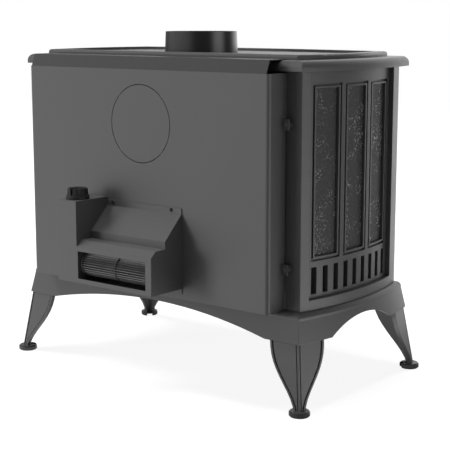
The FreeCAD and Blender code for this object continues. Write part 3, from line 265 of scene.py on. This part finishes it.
# Firebox
# The hearth plate, the welded box on it that holds the fire, and the rails that the ash pan runs on.
# Hot-rolled plate that keeps its blue-black mill scale, browned by heat and dulled by ash.
SCALE_DARK = (0.028, 0.029, 0.032, 1.0)
SCALE_PALE = (0.075, 0.076, 0.080, 1.0)
SCALE_RUST = (0.110, 0.055, 0.030, 1.0)


def mill_scale(place):
    """The blotched colour of plate as it leaves the rolls."""
    return mixed(noise(place, 14.0, detail=6.0), SCALE_DARK, SCALE_PALE)


def fire_steel(name, rusted):
    """Scaled plate with heat-browned patches, the more of them the larger rusted is."""
    material, shade, place = blank_finish(name)
    pits = noise(place, 260.0, detail=4.0)
    rust = step(noise(place, 26.0, detail=6.0) + pits * 0.3, 0.85 - rusted, 1.0 - rusted)
    surface(
        shade,
        Base_Color=mixed(rust * 0.7, mill_scale(place), SCALE_RUST),
        Roughness=0.55 + rust * 0.25 + (pits - 0.5) * 0.2,
        Metallic=0.35 - rust * 0.35,
        Normal=relief(pits + rust * 0.5, 0.0003),
    )
    return material


mill_plate = fire_steel("mill_plate", rusted=0.12)
dress(mill_plate, "hearth_plate", "firebox_shell", "drawer_rails")

# Grate
# A slotted grate that lies loose in the firebox floor over the ash drawer. Cast iron, burnt bare of paint, so
# it is rough and brown all over.
burnt_iron = fire_steel("burnt_iron", rusted=0.30)
dress(burnt_iron, "grate")

# Firebricks
# Loose pressed bricks that line the floor, both sides and the back of the firebox. Buff refractory clay full
# of small pores, smoked towards the top.
BRICK_PALE = (0.60, 0.51, 0.38, 1.0)
BRICK_DARK = (0.45, 0.35, 0.24, 1.0)
BRICK_SOOT = (0.045, 0.040, 0.036, 1.0)
BLACK_ABOVE_TOP = 0.05
SMOKE_DRIFT = 0.25
brick_nodes = [f"firebrick_{wall}" for wall in ("floor", "left", "right", "rear")]
brick_boxes = [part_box(node) for node in brick_nodes]
brick_foot = min(low.z for low, high in brick_boxes)
brick_top = max(high.z for low, high in brick_boxes)
firebrick, shade, place = blank_finish("firebrick")
clay = noise(place, 90.0, detail=7.0)
pores = step(shade.add("TexVoronoi", None, {"Vector": place, "Scale": 380.0}, "Distance"), 0.12, 0.38)
smoke_level = along_axis(place, "Z") + (noise(place, 9.0, detail=5.0) - 0.5) * SMOKE_DRIFT
soot = step(smoke_level, brick_foot, brick_top + BLACK_ABOVE_TOP)
surface(
    shade,
    Base_Color=mixed(soot * 0.85, mixed(clay * pores, BRICK_DARK, BRICK_PALE), BRICK_SOOT),
    Roughness=0.93 - clay * 0.08,
    Specular_IOR_Level=0.2,
    Normal=relief(pores + clay * 0.6, 0.0006),
)
dress(firebrick, *brick_nodes)

# Secondary air tubes
# Three pipes across the top of the fire that feed it warm air and carry the baffle. Stainless tube,
# tinted straw and blue by the heat.
TUBE_TINTS = [(0.30, (0.36, 0.33, 0.29, 1.0)), (0.48, (0.30, 0.20, 0.10, 1.0)),
              (0.60, (0.12, 0.11, 0.17, 1.0)), (0.75, (0.08, 0.12, 0.20, 1.0))]
tube_steel, shade, place = blank_finish("tinted_stainless")
heat = grained(place, (6.0, 20.0, 20.0), detail=4.0)
surface(
    shade,
    Base_Color=shade.add("ValToRGB", {"stops": TUBE_TINTS}, {"Fac": heat}),
    Metallic=0.9,
    Roughness=0.35 + noise(place, 120.0) * 0.2,
    Normal=relief(grained(place, (30.0, 900.0, 900.0)), METAL_MARKS_DEPTH),
)
dress(tube_steel, "secondary_air_tubes")

# Baffle board
# A light board laid on the air tubes that turns the smoke forward on its way to the flue. Pressed ceramic
# fibre, off-white, felted and smoke-stained.
BOARD_PALE = (0.68, 0.64, 0.56, 1.0)
BOARD_DARK = (0.30, 0.27, 0.23, 1.0)
fibre_board, shade, place = blank_finish("fibre_board")
felt = grained(place, (160.0, 420.0, 420.0), detail=6.0)
stain = step(noise(place, 8.0, detail=5.0), 0.42, 0.68)
surface(
    shade,
    Base_Color=mixed(stain * 0.6 + (felt - 0.5) * 0.5, BOARD_PALE, BOARD_DARK),
    Roughness=0.95 - felt * 0.08,
    Specular_IOR_Level=0.15,
    Normal=relief(felt, 0.0005),
)
dress(fibre_board, "baffle_board")

# Side frames and grille panels
# Bowed frames that close the two ends of the body, each with a panel of three beaded windows over a row of
# slots set into its rebate. Cast iron in the body's paint, clamped between base and top.
dress(cast_paint, *[f"{piece}_{side}" for piece in ("side_frame", "side_panel") for side in sides])

# Stone inserts
# Three dark slabs behind the windows of each panel, held by its back. Sawn stone, near black, full of short
# pale flecks that gather in drifts.
STONE_DARK = (0.022, 0.022, 0.023, 1.0)
STONE_PALE = (0.060, 0.060, 0.062, 1.0)
STONE_FLECK = (0.78, 0.78, 0.76, 1.0)
side_stone, shade, place = blank_finish("flecked_stone")
cloud = noise(place, 55.0, detail=6.0)
vein = 1 - step(abs(noise(place, 150.0, detail=2.0) - 0.5), 0.030, 0.060)
broken = step(noise(place, 230.0, detail=1.0), 0.53, 0.59)
drift = step(noise(place, 22.0, detail=2.0), 0.44, 0.60)
fleck = vein * broken * (drift * 0.9 + 0.1)
surface(
    shade,
    Base_Color=mixed(fleck, mixed(cloud, STONE_DARK, STONE_PALE), STONE_FLECK),
    Roughness=0.55 - fleck * 0.2 + (cloud - 0.5) * 0.2,
    Specular_IOR_Level=0.3,
    Normal=relief(cloud + fleck * 0.5, 0.0004),
)
dress(side_stone, *[f"side_stones_{side}" for side in sides])

# Rear casting and flue cover
# The plate that closes the back of the body, with four bosses for the heat shield and a blanked rear flue
# hole behind the shield's knock-out. Cast iron in the body's paint; the cover is a disc seated on the hole.
dress(cast_paint, "rear_casting", "rear_flue_cover")

# Front casting and hinge pins
# The bowed front that frames the loading door and the ash drawer. Cast iron in the body's paint; the pins are
# plain ground steel dropped into its knuckles.
PIN_DARK = (0.30, 0.30, 0.31, 1.0)
PIN_BRIGHT = (0.48, 0.48, 0.50, 1.0)
PIN_GRAIN = (900.0, 900.0, 900.0)
dress(cast_paint, "front_casting")
pin_steel = bare_metal("ground_steel", PIN_DARK, PIN_BRIGHT, roughness=0.30, grain=PIN_GRAIN)
dress(pin_steel, "door_hinge_pins")

# Loading door
# A bowed door frame with an arched window and a groove for the rope seal in its back. One iron casting in the
# body's paint, hung by its two knuckles on the front casting's pins.
dress(cast_paint, "door_frame")

# Door glass and clips
# A flat pane let into the door's back, held by four flat clips. Clear ceramic glass with a faint amber cast
# and a haze of smoke near its edges; the clips are bare plate.
PANE_CLEAR = (0.93, 0.90, 0.85, 1.0)
PANE_SMOKED = (0.42, 0.36, 0.28, 1.0)
PANE_SMOKE = (0.85, 1.5)
PANE_IOR = 1.48
pane_low, pane_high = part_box("door_glass")
pane_middle = (pane_low + pane_high) / 2
pane_reach = (pane_high - pane_low) / 2
door_pane, shade, place = blank_finish("ceramic_pane")
centred = shade.add("VectorMath", {"operation": "SUBTRACT"}, {0: place, 1: pane_middle})
spread = stretched(centred, 1 / pane_reach.x, 0.0, 1 / pane_reach.z)
rim = shade.add("VectorMath", {"operation": "LENGTH"}, {0: spread}, "Value")
smoke = step(rim + (noise(place, 11.0, detail=5.0) - 0.5) * 0.9, *PANE_SMOKE)
surface(
    shade,
    Base_Color=mixed(smoke, PANE_CLEAR, PANE_SMOKED),
    Roughness=0.03 + smoke * 0.3,
    Transmission_Weight=1.0,
    IOR=PANE_IOR,
)
dress(door_pane, "door_glass")
dress(mill_plate, "glass_clips")

# Rope seal
# A square ring of braided rope pressed into a groove in the back of the door, which seals it against the
# front casting. Eight graphite-grey yarns of spun glass, four each way round.
ROPE_HALF_WIDTH = 0.0045
ROPE_BEND = 0.005
ROPE_TURNS = 56
STEPS_EACH_TURN = 14
YARNS_EACH_WAY = 4
YARN_RADIUS = 0.00125
YARN_WEAVE = 0.0003
ROPE_DARK = (0.10, 0.10, 0.10, 1.0)
ROPE_PALE = (0.26, 0.26, 0.25, 1.0)
rope_low, rope_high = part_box("door_rope_seal")
rope_middle = (rope_low + rope_high) / 2
rope_deep = (rope_high.y - rope_low.y) / 2 - YARN_RADIUS - YARN_WEAVE
rope_wide = ROPE_HALF_WIDTH - YARN_RADIUS - YARN_WEAVE
straight_x = (rope_high.x - rope_low.x) - 2 * ROPE_HALF_WIDTH - 2 * ROPE_BEND
straight_z = (rope_high.z - rope_low.z) - 2 * ROPE_HALF_WIDTH - 2 * ROPE_BEND


def rope_line(share):
    """Point on the rope's middle line, a rectangle with rounded corners, and the way out of the ring."""
    bend = ROPE_BEND * pi / 2
    left = share * 2 * (straight_x + straight_z + 2 * bend)
    turned = 0.0
    corner = Vector((straight_x / 2, 0, -straight_z / 2))
    for side in (straight_z, straight_x, straight_z, straight_x):
        out = Vector((cos(turned), 0, sin(turned)))
        along = Vector((-sin(turned), 0, cos(turned)))
        if left <= side:
            return rope_middle + corner + out * ROPE_BEND + along * left, out
        left -= side
        corner += along * side
        if left <= bend:
            angle = turned + left / ROPE_BEND
            out = Vector((cos(angle), 0, sin(angle)))
            return rope_middle + corner + out * ROPE_BEND, out
        left -= bend
        turned += pi / 2


rope_curve = bpy.data.curves.new("rope_yarns", "CURVE")
rope_curve.dimensions = "3D"
rope_curve.bevel_depth = YARN_RADIUS
rope_curve.bevel_resolution = 1
rope_points = ROPE_TURNS * STEPS_EACH_TURN
for way in (1, -1):
    for yarn in range(YARNS_EACH_WAY):
        spline = rope_curve.splines.new("POLY")
        spline.points.add(rope_points - 1)
        spline.use_cyclic_u = True
        for index, point in enumerate(spline.points):
            share = index / rope_points
            middle, out = rope_line(share)
            angle = way * share * ROPE_TURNS * tau + yarn * tau / YARNS_EACH_WAY
            lift = way * YARN_WEAVE * cos(YARNS_EACH_WAY * angle)
            spot = middle + out * (rope_wide + lift) * cos(angle)
            spot.y += (rope_deep + lift) * sin(angle)
            point.co = (*spot, 1.0)
yarn_tubes = bpy.data.objects.new("rope_yarns", rope_curve)
bpy.context.scene.collection.objects.link(yarn_tubes)
rope = bpy.data.objects.new("rope_seal", bpy.data.meshes.new_from_object(yarn_tubes))
bpy.context.scene.collection.objects.link(rope)
bpy.data.objects.remove(yarn_tubes)
spun_glass, shade, place = blank_finish("spun_glass_yarn")
fluff = noise(place, 1500.0, detail=4.0)
grime = noise(place, 30.0, detail=4.0)
surface(
    shade,
    Base_Color=mixed(fluff * 0.6 + grime * 0.4, ROPE_DARK, ROPE_PALE),
    Roughness=0.80 + fluff * 0.15,
    Normal=relief(fluff, 0.0003),
)
rope.data.materials.clear()
rope.data.materials.append(spun_glass)
for polygon in rope.data.polygons:
    polygon.use_smooth = True
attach(rope, "loading_door")
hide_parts("door_rope_seal")

# Door handle
# A lever on the latch shaft with a turned grip pushed over its end. The lever is cast and brushed satin
# black; the grip is oiled hardwood with its grain along its length.
HANDLE_TONE = 0.045
HANDLE_SURFACE = {"roughness": 0.45, "grain": 500.0, "depth": 0.0001, "edge": 0.0010}
WOOD_TINTS = [(0.15, (0.10, 0.045, 0.018, 1.0)), (0.50, (0.20, 0.095, 0.040, 1.0)),
              (0.85, (0.31, 0.165, 0.075, 1.0))]
handle_iron = stove_paint("handle_iron", HANDLE_TONE, **HANDLE_SURFACE)
dress(handle_iron, "handle_lever")
handle_wood, shade, place = blank_finish("oiled_hardwood")
fibres = grained(place, (1500.0, 1500.0, 45.0), detail=4.0)
rings = shade.add(
    "TexWave",
    {"wave_type": "RINGS", "rings_direction": "Z"},
    {"Vector": stretched(place, 1.0, 1.0, 0.10), "Scale": 70.0, "Distortion": 3.0, "Detail": 3.0},
    "Fac",
)
surface(
    shade,
    Base_Color=shade.add("ValToRGB", {"stops": WOOD_TINTS}, {"Fac": rings * 0.55 + fibres * 0.45}),
    Roughness=0.38 + fibres * 0.25,
    Coat_Weight=0.15 + rings * 0.1,
    Normal=relief(fibres, 0.00008),
)
dress(handle_wood, "handle_grip")

# Ash drawer
# A bowed drawer front with a turned pull and a tray behind it. The front is cast in the body's paint, the
# pull is satin black, and the tray is folded plate dusted with pale ash.
ASH = (0.36, 0.35, 0.33, 1.0)
ASH_THICK = 0.003
ASH_THIN = 0.014
ASH_DRIFT = 0.03
dress(cast_paint, "ash_drawer_front")
dress(handle_iron, "drawer_pull")
ash_tray, shade, place = blank_finish("ashy_plate")
pan_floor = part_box("ash_pan")[0].z
dust = noise(place, 55.0, detail=6.0)
ash_level = along_axis(place, "Z") + (dust - 0.5) * ASH_DRIFT
fallen = 1 - step(ash_level, pan_floor + ASH_THICK, pan_floor + ASH_THIN)
surface(
    shade,
    Base_Color=mixed(fallen * (dust * 0.9 + 0.2), mill_scale(place), ASH),
    Roughness=0.6 + fallen * 0.3,
    Normal=relief(dust, 0.0004),
)
dress(ash_tray, "ash_pan")

# Air control
# A slide over the air ports with a lever through the front casting and a small turned knob. The slide is
# mill plate, and the knob matches the drawer pull.
dress(mill_plate, "air_slide")
dress(handle_iron, "air_knob")

# Top
# A moulded two-tier slab with a sunk plate inside a raised rim, which caps the body and carries the flue. One
# casting in the body's paint, bedded on the walls in stove cement.
dress(cast_paint, "top_casting")

# Flue collar
# A plain tapered ring for the chimney pipe, seated over the hole in the top. Turned cast iron in glossy black
# enamel with a faint orange-peel skin.
COLLAR_TONE = 0.006
COLLAR_SPREAD = 0.3
COLLAR_EDGE = 0.0008
collar_enamel, shade, place = blank_finish("collar_enamel")
orange_peel = noise(place, 260.0, detail=2.0)
cloud = noise(place, 30.0, detail=4.0)
collar_dark = grey(COLLAR_TONE * (1 - COLLAR_SPREAD))
collar_pale = grey(COLLAR_TONE * (1 + COLLAR_SPREAD))
surface(
    shade,
    Base_Color=mixed(cloud, collar_dark, collar_pale),
    Roughness=0.30 + (cloud - 0.5) * 0.12,
    Normal=relief(orange_peel, 0.00004, eased_edges(shade, COLLAR_EDGE)),
)
dress(collar_enamel, "flue_collar")

# Heat shield and top band
# A folded sheet that stands off the back, with a sawn knock-out for a rear flue, and the sloped strip that
# closes the gap above it. Rolled steel in smooth satin charcoal paint; the strip is drawn in a darker tone.
SHEET_TONE = 0.094
SHEET_SURFACE = {"roughness": 0.48, "grain": 420.0, "depth": 0.00003}
SHIELD_EDGE = 0.0010
BAND_TONE = 0.037
FOLDED_EDGE = 0.0008
sheet_paint = stove_paint("sheet_paint", SHEET_TONE, **SHEET_SURFACE, edge=SHIELD_EDGE)
dress(sheet_paint, "heat_shield")
band_paint = stove_paint("band_paint", BAND_TONE, **SHEET_SURFACE, edge=FOLDED_EDGE)
dress(band_paint, "top_deflector")

# Shield and blower screws
# Hexagon screws with a washer rolled onto the head. Four hold the shield's ears to the bosses behind it and
# were sprayed with it; two of black-oxide steel hold the blower's flange to the shield.
SCREW_SIDES = 36
SCREW_FLATS = 0.0055
SCREW_WASHER = 0.0008
SCREW_CHAMFER = 0.0004
SCREW_DISH = 0.0005
HEAD_TO_RADIUS = 0.75
OXIDE_DARK = (0.020, 0.020, 0.022, 1.0)
OXIDE_PALE = (0.060, 0.060, 0.064, 1.0)
OXIDE_GRAIN = (800.0, 800.0, 800.0)
SAME_POINT = 1e-6


def separate_solids(node):
    """Lowest and highest corners of each loose solid in a CAD node."""
    mesh = bmesh.new()
    mesh.from_mesh(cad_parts[node].data)
    bmesh.ops.remove_doubles(mesh, verts=mesh.verts, dist=SAME_POINT)
    waiting = set(mesh.verts)
    boxes = []
    while waiting:
        reached = [waiting.pop()]
        points = []
        while reached:
            vertex = reached.pop()
            points.append(vertex.co.copy())
            for edge in vertex.link_edges:
                other = edge.other_vert(vertex)
                if other in waiting:
                    waiting.discard(other)
                    reached.append(other)
        ends = [[pick(point[axis] for point in points) for axis in range(3)] for pick in (min, max)]
        boxes.append([Vector(end) for end in ends])
    mesh.free()
    return sorted(boxes, key=lambda pair: tuple(pair[0]))


def hexagon_screw(mesh, low, high):
    """Adds one screw in a box, its head towards +Y: shank, washer, hexagon and dished top."""
    radius = (high.x - low.x) / 2
    middle = (low + high) / 2
    shank = radius / 2
    head = SCREW_FLATS / 2
    seat = high.y - radius * HEAD_TO_RADIUS
    levels = [
        (shank, low.y, False),
        (shank, seat, False),
        (radius, seat, False),
        (radius, seat + SCREW_WASHER, False),
        (head * 1.2, seat + SCREW_WASHER * 1.5, False),
        (head, seat + SCREW_WASHER * 1.6, True),
        (head, high.y - SCREW_CHAMFER, True),
        (head * 0.92, high.y, False),
        (head * 0.6, high.y, False),
        (head * 0.5, high.y - SCREW_DISH, False),
    ]
    rings = []
    for reach, y, six_sided in levels:
        ring = []
        for index in range(SCREW_SIDES):
            angle = index * tau / SCREW_SIDES
            off_flat = (angle + pi / 6) % (pi / 3) - pi / 6
            spread = reach / cos(off_flat) if six_sided else reach
            ring.append(mesh.verts.new((middle.x + spread * cos(angle), y, middle.z + spread * sin(angle))))
        rings.append(ring)
    for lower, upper in zip(rings, rings[1:]):
        for index in range(SCREW_SIDES):
            after = (index + 1) % SCREW_SIDES
            mesh.faces.new((lower[index], upper[index], upper[after], lower[after]))
    mesh.faces.new(rings[0])
    mesh.faces.new(reversed(rings[-1]))


black_oxide = bare_metal("black_oxide", OXIDE_DARK, OXIDE_PALE, roughness=0.45, grain=OXIDE_GRAIN)
for node, finish in (("shield_screws", sheet_paint), ("blower_screws", black_oxide)):
    mesh = bmesh.new()
    for low, high in separate_solids(node):
        hexagon_screw(mesh, low, high)
    bmesh.ops.recalc_face_normals(mesh, faces=mesh.faces)
    screws = bpy.data.objects.new(f"{node}_hexagon", bpy.data.meshes.new(f"{node}_hexagon"))
    mesh.to_mesh(screws.data)
    mesh.free()
    screws.data.materials.append(finish)
    bpy.context.scene.collection.objects.link(screws)
    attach(screws, "stove")
    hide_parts(node)

# Blower housing and control box
# A stepped hood with a slot mouth, flanged to the shield, and the tall box beside it for the motor and the
# speed control. Folded and spot-welded sheet in the shield's paint.
blower_paint = stove_paint("blower_paint", SHEET_TONE, **SHEET_SURFACE, edge=FOLDED_EDGE)
dress(blower_paint, "blower_housing", "control_box")

# Fan, motor and bush
# A long drum fan on a ground shaft between the motor's bearing and a bronze bush. The blades are rolled
# aluminium, dull with dust, crimped into a darker middle disc; the motor is a pressed steel can.
FAN_DARK = grey(0.14)
FAN_DUSTY = grey(0.27)
FAN_DISC = grey(0.07)
FAN_DISC_HALF = 0.0012
FAN_METALLIC = 0.6
BRONZE_DARK = (0.36, 0.22, 0.09, 1.0)
BRONZE_BRIGHT = (0.58, 0.40, 0.19, 1.0)
BRONZE_GRAIN = (500.0, 500.0, 500.0)
fan_low, fan_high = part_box("fan_impeller")
fan_alloy, shade, place = blank_finish("dusty_aluminium")
from_middle = abs(along_axis(place, "X") - (fan_low.x + fan_high.x) / 2)
disc = 1 - step(from_middle, FAN_DISC_HALF, FAN_DISC_HALF * 1.2)
dust = noise(place, 60.0, detail=5.0)
rolled = grained(place, (60.0, 900.0, 900.0))
surface(
    shade,
    Base_Color=mixed(disc, mixed(dust, FAN_DARK, FAN_DUSTY), FAN_DISC),
    Metallic=FAN_METALLIC - disc * FAN_METALLIC,
    Roughness=0.42 + (rolled - 0.5) * 0.25 + (dust - 0.5) * 0.15 + disc * 0.3,
    Normal=relief(rolled, METAL_MARKS_DEPTH),
)
dress(fan_alloy, "fan_impeller")
dress(pin_steel, "fan_shaft")
dress(zinc, "fan_motor")
bronze = bare_metal("sintered_bronze", BRONZE_DARK, BRONZE_BRIGHT, roughness=0.40, grain=BRONZE_GRAIN)
dress(bronze, "fan_bush")

# Speed control
# A rheostat under the box's top whose spindle carries the scalloped knob. The can and the knob are moulded
# black plastic with a fine spark-eroded skin, and the spindle is ground steel.
KNOB_TONE = 0.014
MOULDED_EDGE = 0.0007


def moulded(name, tone, roughness, grain, depth):
    """Moulded black plastic or rubber with an even fine texture."""
    material, shade, place = blank_finish(name)
    skin = noise(place, grain, detail=2.0)
    handled = noise(place, 70.0, detail=4.0)
    surface(
        shade,
        Base_Color=mixed(handled, grey(tone * 0.8), grey(tone * 1.25)),
        Roughness=roughness + (handled - 0.5) * 0.2,
        Specular_IOR_Level=0.3,
        Normal=relief(skin, depth, eased_edges(shade, MOULDED_EDGE)),
    )
    return material


knob_plastic = moulded("knob_plastic", KNOB_TONE, roughness=0.48, grain=1800.0, depth=0.00006)
dress(knob_plastic, "speed_knob", "speed_control")
dress(pin_steel, "knob_spindle")

# Cord gland
# A short flanged sleeve that keeps the sheet from chafing the blower's mains lead. Moulded black rubber, dull
# and grippy, pushed down through a hole in the floor of the control box.
GLAND_TONE = 0.020
gland_rubber = moulded("gland_rubber", GLAND_TONE, roughness=0.80, grain=900.0, depth=0.00010)
dress(gland_rubber, "cord_gland")

# Studio
# A pale floor that runs out to white, a low broad key lamp and a high one on the blower's far side, a weak
# rim lamp behind and a soft overhead. Paint and metal mirror three white panels round a dim room.
FLOOR_REACH = 14.0
FLOOR_TONE = 0.3
FLOOR_WHITE = 0.88
FLOOR_FADE = (0.7, 1.8)
AMBIENT = 0.11
ROOM_GLOW = 0.25
PANEL_SOFTNESS = (1.35, 0.5)
# Each panel has its bearing and half its width in degrees, and its brightness.
PANELS = ((-38, 44, 0.95), (95, 18, 3.0), (190, 34, 1.7))


def surroundings(shade, way, seen, ambient):
    """What lies that way: white to the camera and through glass, panels in a dim room where mirrored."""
    camera, mirrored, through = [shade.add("LightPath", output=f"Is {kind} Ray")
                                 for kind in ("Camera", "Glossy", "Transmission")]
    level = shade.add("VectorMath", {"operation": "NORMALIZE"}, {0: way})
    glow = ROOM_GLOW
    for bearing, half_width, brightness in PANELS:
        facing = (-sin(radians(bearing)), cos(radians(bearing)), 0.0)
        ahead = shade.add("VectorMath", {"operation": "DOT_PRODUCT"}, {0: level, 1: facing}, "Value")
        edges = [cos(radians(half_width * share)) for share in PANEL_SOFTNESS]
        glow = glow + step(ahead, *edges) * brightness
    shown = shade.math("MAXIMUM", camera, through)
    return shown * seen + (1 - shown) * (mirrored * glow + (1 - mirrored) * ambient)


bpy.ops.mesh.primitive_plane_add(size=FLOOR_REACH, location=(0, 0, cad_low.z))
floor = bpy.context.object
floor.name = "studio_floor"
floor_finish, shade, place = blank_finish("floor_finish")
# The floor's glow is only seen and mirrored, so no lamp is made of it.
floor_finish.cycles.emission_sampling = "NONE"
matt = shade.add("BsdfDiffuse", None, {"Color": grey(FLOOR_TONE)})
distance = shade.add("VectorMath", {"operation": "LENGTH"}, {0: place}, "Value")
whiter = FLOOR_WHITE + step(distance, *FLOOR_FADE) * (1 - FLOOR_WHITE)
glowing = surroundings(shade, place, whiter, 0.0)
lift = shade.add("Emission", None, {"Color": glowing, "Strength": 1.0})
shade.add("OutputMaterial", None, {"Surface": shade.add("AddShader", None, {0: matt, 1: lift})})
floor.data.materials.append(floor_finish)

world = bpy.data.worlds.new("studio")
bpy.context.scene.world = world
world.use_nodes = True
world.node_tree.nodes.clear()
shade = Shade(world.node_tree)
around = surroundings(shade, shade.add("TexCoord", output="Generated"), 1.0, AMBIENT)
room = shade.add("Background", None, {"Color": around, "Strength": 1.0})
shade.add("OutputWorld", None, {"Surface": room})

stove_middle = (cad_low + cad_high) / 2


def softbox(name, place, size, power):
    """A square soft lamp that faces the stove, and that no surface mirrors."""
    lamp = bpy.data.lights.new(name, "AREA")
    lamp.size = size
    lamp.energy = power
    holder = bpy.data.objects.new(name, lamp)
    holder.location = place
    holder.visible_glossy = False
    holder.rotation_euler = (stove_middle - Vector(place)).to_track_quat("-Z", "Y").to_euler()
    bpy.context.scene.collection.objects.link(holder)


softbox("key", place=(7.04, 9.70, 1.13), size=3.2, power=680.0)
softbox("high", place=(7.69, 3.59, 8.99), size=3.6, power=690.0)
softbox("rim", place=(-0.86, -4.88, 1.20), size=1.8, power=25.0)
softbox("overhead", place=(0.0, 0.1, 5.5), size=1.8, power=170.0)

PHOTO_FOCAL_MM = 95.61
PHOTO_SENSOR_MM = 36.0
CAMERA_FROM_FLUE = Vector((-1.71919, 2.07974, 0.79207))
CAMERA_AIM = Vector((0.61280, -0.77149, -0.17111))
collar_low, collar_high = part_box("flue_collar")
flue_middle = (collar_low + collar_high) / 2
lens = bpy.data.cameras.new("photo_camera")
lens.lens = PHOTO_FOCAL_MM
lens.sensor_width = PHOTO_SENSOR_MM
camera = bpy.data.objects.new("photo_camera", lens)
camera.location = Vector((flue_middle.x, flue_middle.y, cad_low.z)) + CAMERA_FROM_FLUE
camera.rotation_euler = CAMERA_AIM.to_track_quat("-Z", "Y").to_euler()
bpy.context.scene.collection.objects.link(camera)
bpy.context.scene.camera = camera
bpy.context.scene.view_settings.view_transform = "Standard"
